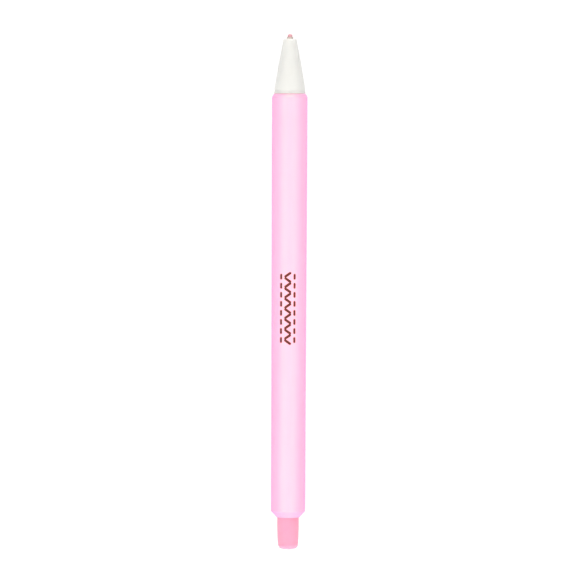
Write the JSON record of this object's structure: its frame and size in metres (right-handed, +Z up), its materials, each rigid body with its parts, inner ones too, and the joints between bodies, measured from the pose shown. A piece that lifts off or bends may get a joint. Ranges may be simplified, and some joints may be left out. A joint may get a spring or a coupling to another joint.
{
  "type": "fabric marking pencil",
  "caption": "Click-feed fabric marking pencil: round pastel barrel, screw-on tapered nose, sprung chuck that grips a chalk-pink lead, and a push button on the lead tube.",
  "frame": {"origin": "middle of the bounding box's underside: half-way along the pencil, on the surface that it lies on", "axes": "+X along the pencil towards its writing tip, +Z up from the surface it lies on, +Y to its left seen from the button"},
  "size_m": [0.14, 0.0096, 0.0096],
  "materials": {
    "barrel_plastic": "pastel pink, satin-gloss moulded plastic with a brown printed mark",
    "nose_plastic": "warm white, satin-gloss moulded plastic",
    "button_plastic": "salmon pink, satin-gloss moulded plastic",
    "guide_metal": "drawn stainless tube",
    "pink_lead": "matt pink marking lead",
    "bush_rubber": "matt black rubber",
    "sleeve_plastic": "natural acetal",
    "connector_plastic": "natural acetal",
    "tube_plastic": "natural polypropylene tube",
    "brass": "turned brass",
    "spring_steel": "hard-drawn spring wire"
  },
  "bodies": {
    "body": {"barrel": "barrel_plastic", "clutch_sleeve": "sleeve_plastic", "return_spring": "spring_steel"},
    "plunger": {"lead_tube": "tube_plastic", "chuck_connector": "connector_plastic", "chuck": "brass", "spare_lead_1": "pink_lead", "spare_lead_2": "pink_lead", "spare_lead_3": "pink_lead", "spare_lead_4": "pink_lead"},
    "button": {"push_button": "button_plastic"},
    "ring": {"clutch_ring": "brass"},
    "jaw_1": {"chuck_jaw_1": "brass"},
    "jaw_2": {"chuck_jaw_2": "brass"},
    "jaw_3": {"chuck_jaw_3": "brass"},
    "writing_lead": {"lead": "pink_lead"},
    "bush": {"lead_retainer": "bush_rubber"},
    "nose": {"nose_cone": "nose_plastic", "tip_sleeve": "guide_metal"}
  },
  "joints": [
    {"name": "button_press", "type": "slide", "parent": "body", "child": "plunger", "axis": [1, 0, 0], "range_m": [0, 0.0025], "stiffness_N_per_m": 600, "springref_m": -0.005, "deforming": ["return_spring"]},
    {"name": "ring_travel", "type": "slide", "parent": "body", "child": "ring", "axis": [1, 0, 0], "range_m": [0, 0.0009]},
    {"name": "jaw_1_open", "type": "hinge", "parent": "plunger", "child": "jaw_1", "pos_m": [0.05, 0.0005, 0.00567], "axis": [0, -0.866, 0.5], "range_deg": [0, 1.6]},
    {"name": "jaw_2_open", "type": "hinge", "parent": "plunger", "child": "jaw_2", "pos_m": [0.05, -0.001, 0.00481], "axis": [0, 0, -1], "range_deg": [0, 1.6]},
    {"name": "jaw_3_open", "type": "hinge", "parent": "plunger", "child": "jaw_3", "pos_m": [0.05, 0.0005, 0.00394], "axis": [0, 0.866, 0.5], "range_deg": [0, 1.6]},
    {"name": "lead_feed", "type": "slide", "parent": "body", "child": "writing_lead", "axis": [1, 0, 0], "range_m": [-0.00085, 0.04]},
    {"name": "button_pull_off", "type": "slide", "parent": "plunger", "child": "button", "axis": [-1, 0, 0], "range_m": [0, 0.012]},
    {"name": "nose_thread_travel", "type": "slide", "parent": "body", "child": "bush", "axis": [1, 0, 0], "range_m": [0, 0.005]},
    {"name": "nose_unscrew", "type": "hinge", "parent": "bush", "child": "nose", "pos_m": [0.06, 0, 0.00481], "axis": [1, 0, 0], "range_deg": [0, 1800]}
  ],
  "couplings": [
    {"joint": "ring_travel", "follows": "button_press", "ratio": 0.36},
    {"joint": "jaw_1_open", "follows": "button_press", "rad_per_m": 11.17},
    {"joint": "jaw_2_open", "follows": "button_press", "rad_per_m": 11.17},
    {"joint": "jaw_3_open", "follows": "button_press", "rad_per_m": 11.17},
    {"joint": "nose_unscrew", "follows": "nose_thread_travel", "rad_per_m": 6283.2}
  ]
}
